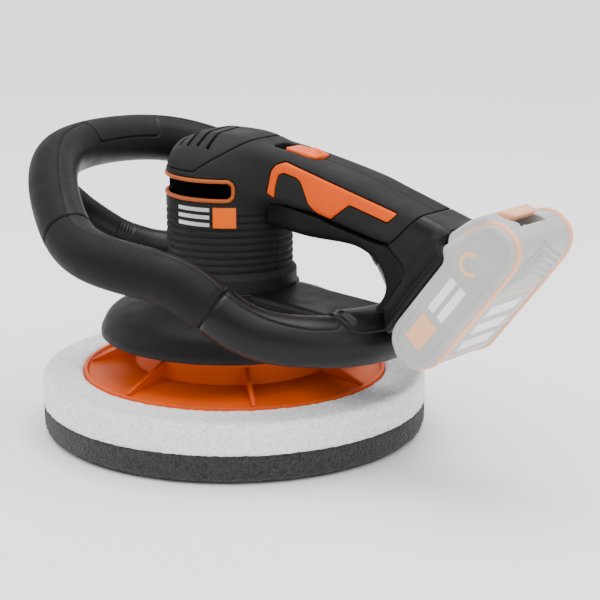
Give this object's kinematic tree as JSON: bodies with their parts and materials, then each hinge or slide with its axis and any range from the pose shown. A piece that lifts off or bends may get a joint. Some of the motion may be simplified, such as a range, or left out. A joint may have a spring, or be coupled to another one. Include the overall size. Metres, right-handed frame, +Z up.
{
  "type": "cordless orbital polisher",
  "caption": "Cordless car polisher: round foam pad on an orange backing plate, upright motor housing, main handle with slide switch, ring-shaped loop handle and a tilted slide-on battery.",
  "frame": {"origin": "on the motor's axis, at the bottom face of the pad", "axes": "+Z up along the motor's axis; +X towards the main handle and the battery; -Y is the operator's left"},
  "size_m": [0.3758, 0.2658, 0.1945],
  "materials": {
    "face_felt": "short felted face, brownish grey",
    "grey_foam": "open-cell foam, dark grey",
    "white_foam": "open-cell foam, white",
    "orange_plate": "moulded nylon, orange, satin",
    "steel": "turned steel",
    "cast_metal": "cast metal",
    "inner_plastic": "black nylon",
    "laminations": "steel laminations",
    "copper": "enamelled copper",
    "magnet": "ferrite",
    "rubber": "rubber",
    "carbon": "carbon",
    "brass": "brass",
    "soft_grip": "soft-touch overmould, matt black",
    "black_plastic": "black nylon, semi-gloss",
    "casing_plastic": "black nylon, fine spark texture",
    "badge_plastic": "black nylon, coarse texture",
    "orange_trim": "orange plastic, satin",
    "orange_switch": "orange plastic, satin gloss",
    "label_print": "plain printed marks",
    "lead_rubber": "insulated wire",
    "pack_grey": "pale grey plastic",
    "pack_cheek": "pale grey plastic",
    "pack_orange": "pale orange plastic",
    "cell_wrap": "cell sleeve"
  },
  "bodies": {
    "tool": {"badge_panel": "badge_plastic", "battery_base": "black_plastic", "bearing_bracket": "cast_metal", "brush_holders": "brass", "carbon_brushes": "carbon", "casing_left": "casing_plastic", "casing_right": "casing_plastic", "casing_screws": "steel", "field_magnets": "magnet", "handle_insert_left": "orange_trim", "handle_insert_right": "orange_trim", "handle_liner": "soft_grip", "housing_labels": "label_print", "loop_core_left": "inner_plastic", "loop_core_right": "inner_plastic", "loop_front_grip": "soft_grip", "loop_rear_frame": "black_plastic", "loop_side_grip_left": "soft_grip", "loop_side_grip_right": "soft_grip", "loop_struts": "black_plastic", "lower_bearing": "steel", "lower_bridge": "black_plastic", "motor_can": "steel", "motor_end_cap": "inner_plastic", "motor_mount_rings": "rubber", "power_leads": "lead_rubber", "shroud": "black_plastic", "shroud_screws": "steel", "slot_trim": "orange_trim", "switch_module": "inner_plastic", "terminal_block": "inner_plastic", "top_cover": "casing_plastic", "upper_bearing": "steel"},
    "rotor": {"eccentric_hub": "cast_metal", "spindle_bearing": "steel", "counterweight": "cast_metal", "motor_shaft": "steel", "cooling_fan": "inner_plastic", "armature_core": "laminations", "armature_windings": "copper", "commutator": "copper"},
    "pad": {"pad_face_layer": "face_felt", "pad_grey_foam": "grey_foam", "pad_white_foam": "white_foam", "backing_plate": "orange_plate", "plate_screws": "steel", "pad_spindle": "steel", "spindle_clip": "steel"},
    "switch": {"switch_slider": "orange_switch"},
    "battery": {"battery_cells": "cell_wrap", "battery_cheek_left": "pack_cheek", "battery_cheek_right": "pack_cheek", "battery_lower_shell": "pack_grey", "battery_terminals": "brass", "battery_trims": "pack_orange", "battery_upper_shell": "pack_grey", "button_spring": "steel", "cell_holder": "inner_plastic"},
    "release": {"release_button": "pack_orange", "latch_hook": "inner_plastic"}
  },
  "joints": [
    {"name": "rotor_spin", "type": "hinge", "parent": "tool", "child": "rotor", "pos_m": [0, 0, 0.1], "axis": [0, 0, 1], "continuous": true},
    {"name": "pad_spin", "type": "hinge", "parent": "rotor", "child": "pad", "pos_m": [0.003, 0, 0.065], "axis": [0, 0, 1], "continuous": true},
    {"name": "switch_slide", "type": "slide", "parent": "tool", "child": "switch", "axis": [-0.9907, 0, 0.1357], "range_m": [0, 0.008]},
    {"name": "battery_slide", "type": "slide", "parent": "tool", "child": "battery", "axis": [0.6252, 0, 0.7804], "range_m": [0, 0.07]},
    {"name": "button_press", "type": "slide", "parent": "battery", "child": "release", "axis": [0.7804, 0, -0.6252], "range_m": [0, 0.003], "stiffness_N_per_m": 600}
  ]
}
